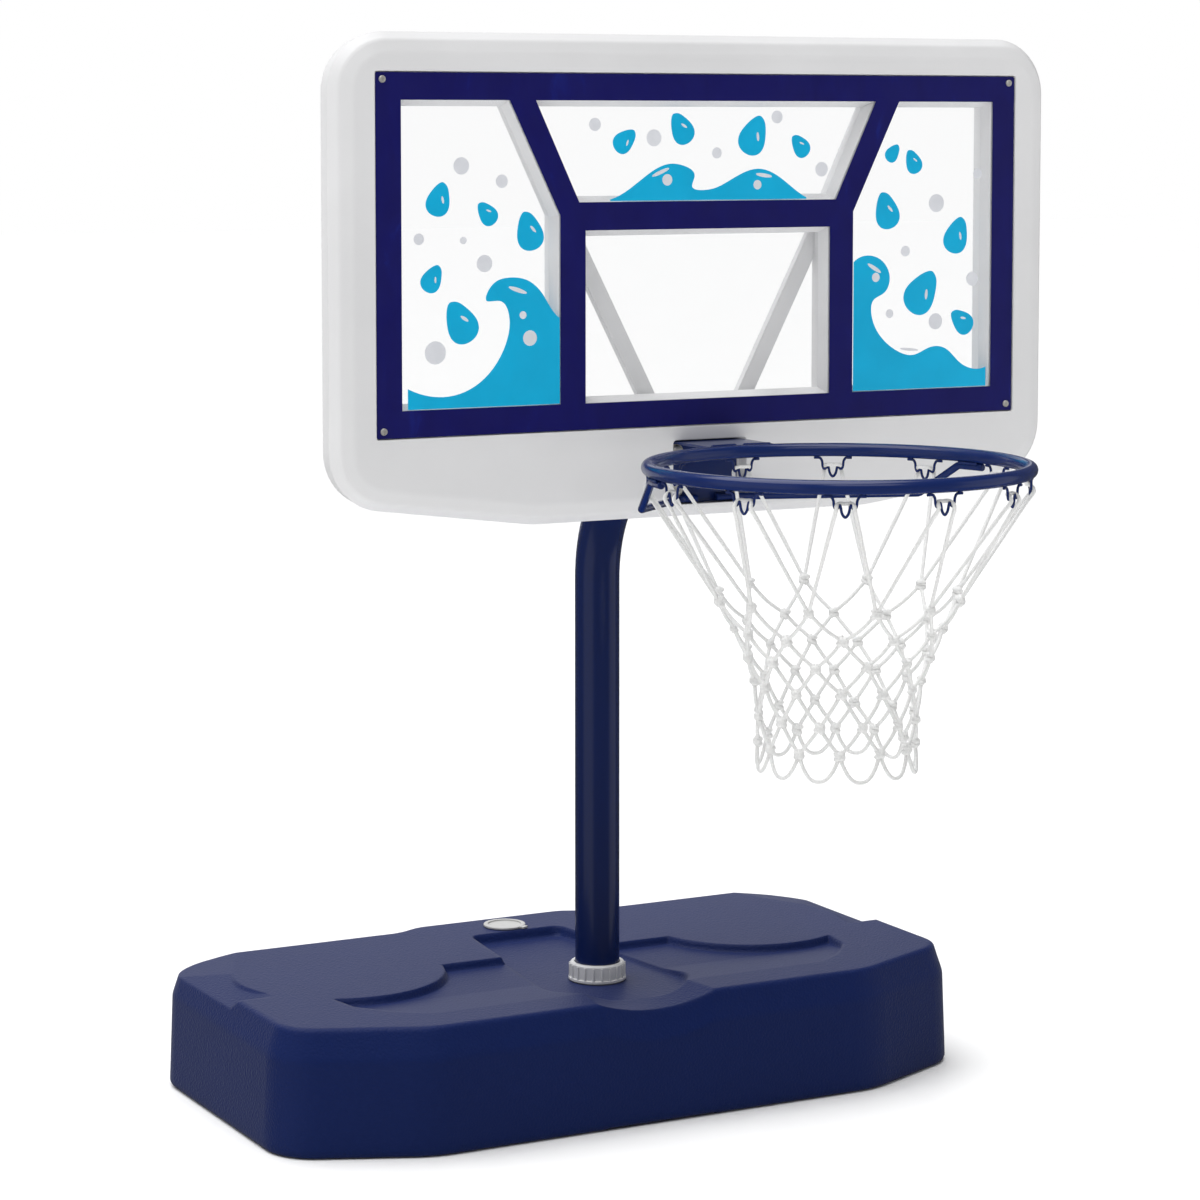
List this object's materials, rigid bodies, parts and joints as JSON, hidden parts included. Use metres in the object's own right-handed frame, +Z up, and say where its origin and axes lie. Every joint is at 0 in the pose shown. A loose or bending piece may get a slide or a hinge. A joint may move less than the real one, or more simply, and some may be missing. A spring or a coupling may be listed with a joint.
{
  "type": "poolside basketball hoop",
  "caption": "Poolside basketball hoop: navy water-filled base, bent mast in a screw collar, clear-panel board with splash print, steel rim and knotted net.",
  "frame": {"origin": "on the floor under the tank, at the mast axis", "axes": "+Z up; +X along the board, to the right for a player who faces it; -Y from the mast towards the hoop and the pool"},
  "size_m": [0.8688, 1.0139, 1.1978],
  "materials": {
    "tank_plastic": "pebbled blow-moulded plastic, dark navy",
    "collar_plastic": "satin light grey plastic",
    "plug_plastic": "satin white plastic",
    "gasket_rubber": "matt black rubber",
    "mast_paint": "semi-gloss navy powder coat on steel",
    "foot_plastic": "matt black plastic",
    "board_plastic": "satin light grey moulded plastic",
    "panel_clear": "clear sheet with polished faces",
    "border_print": "navy print, glossy",
    "splash_print": "cyan print, glossy",
    "bubble_print": "pale grey print, glossy",
    "fastener_steel": "zinc-plated steel",
    "rim_paint": "gloss navy powder coat on steel",
    "net_cord": "off-white braided nylon cord"
  },
  "bodies": {
    "base": {"base_tank": "tank_plastic", "socket_sleeve": "collar_plastic"},
    "clamp": {"clamp_ring": "collar_plastic"},
    "collar": {"collar_nut": "collar_plastic"},
    "plug": {"fill_plug": "plug_plastic", "plug_gasket": "gasket_rubber"},
    "mast": {"mast_tube": "mast_paint", "mast_foot": "foot_plastic", "mast_plate": "mast_paint", "board_frame": "board_plastic", "spacer_sleeves": "fastener_steel", "clear_panel": "panel_clear", "border_film": "border_print", "splash_film": "splash_print", "bubble_film": "bubble_print", "panel_screws": "fastener_steel", "rim_ring": "rim_paint", "rim_bracket": "rim_paint", "rim_brace_left": "rim_paint", "rim_brace_right": "rim_paint", "net_hooks": "rim_paint", "net": "net_cord", "rim_washers": "fastener_steel", "rim_bolts": "fastener_steel", "back_washers": "fastener_steel", "lock_nuts": "fastener_steel"}
  },
  "joints": [
    {"name": "mast_turn", "type": "hinge", "parent": "base", "child": "mast", "pos_m": [0, 0, 0.07], "axis": [0, 0, 1], "continuous": true},
    {"name": "clamp_lift", "type": "slide", "parent": "base", "child": "clamp", "axis": [0, 0, 1], "range_m": [0, 0.0121]},
    {"name": "collar_turn", "type": "hinge", "parent": "clamp", "child": "collar", "pos_m": [0, 0, 0.139], "axis": [0, 0, 1], "range_deg": [0, 1080]},
    {"name": "plug_pull", "type": "slide", "parent": "base", "child": "plug", "axis": [0, 0, 1], "range_m": [0, 0.03]}
  ],
  "couplings": [
    {"joint": "clamp_lift", "follows": "collar_turn", "m_per_rad": 0.00063662}
  ]
}
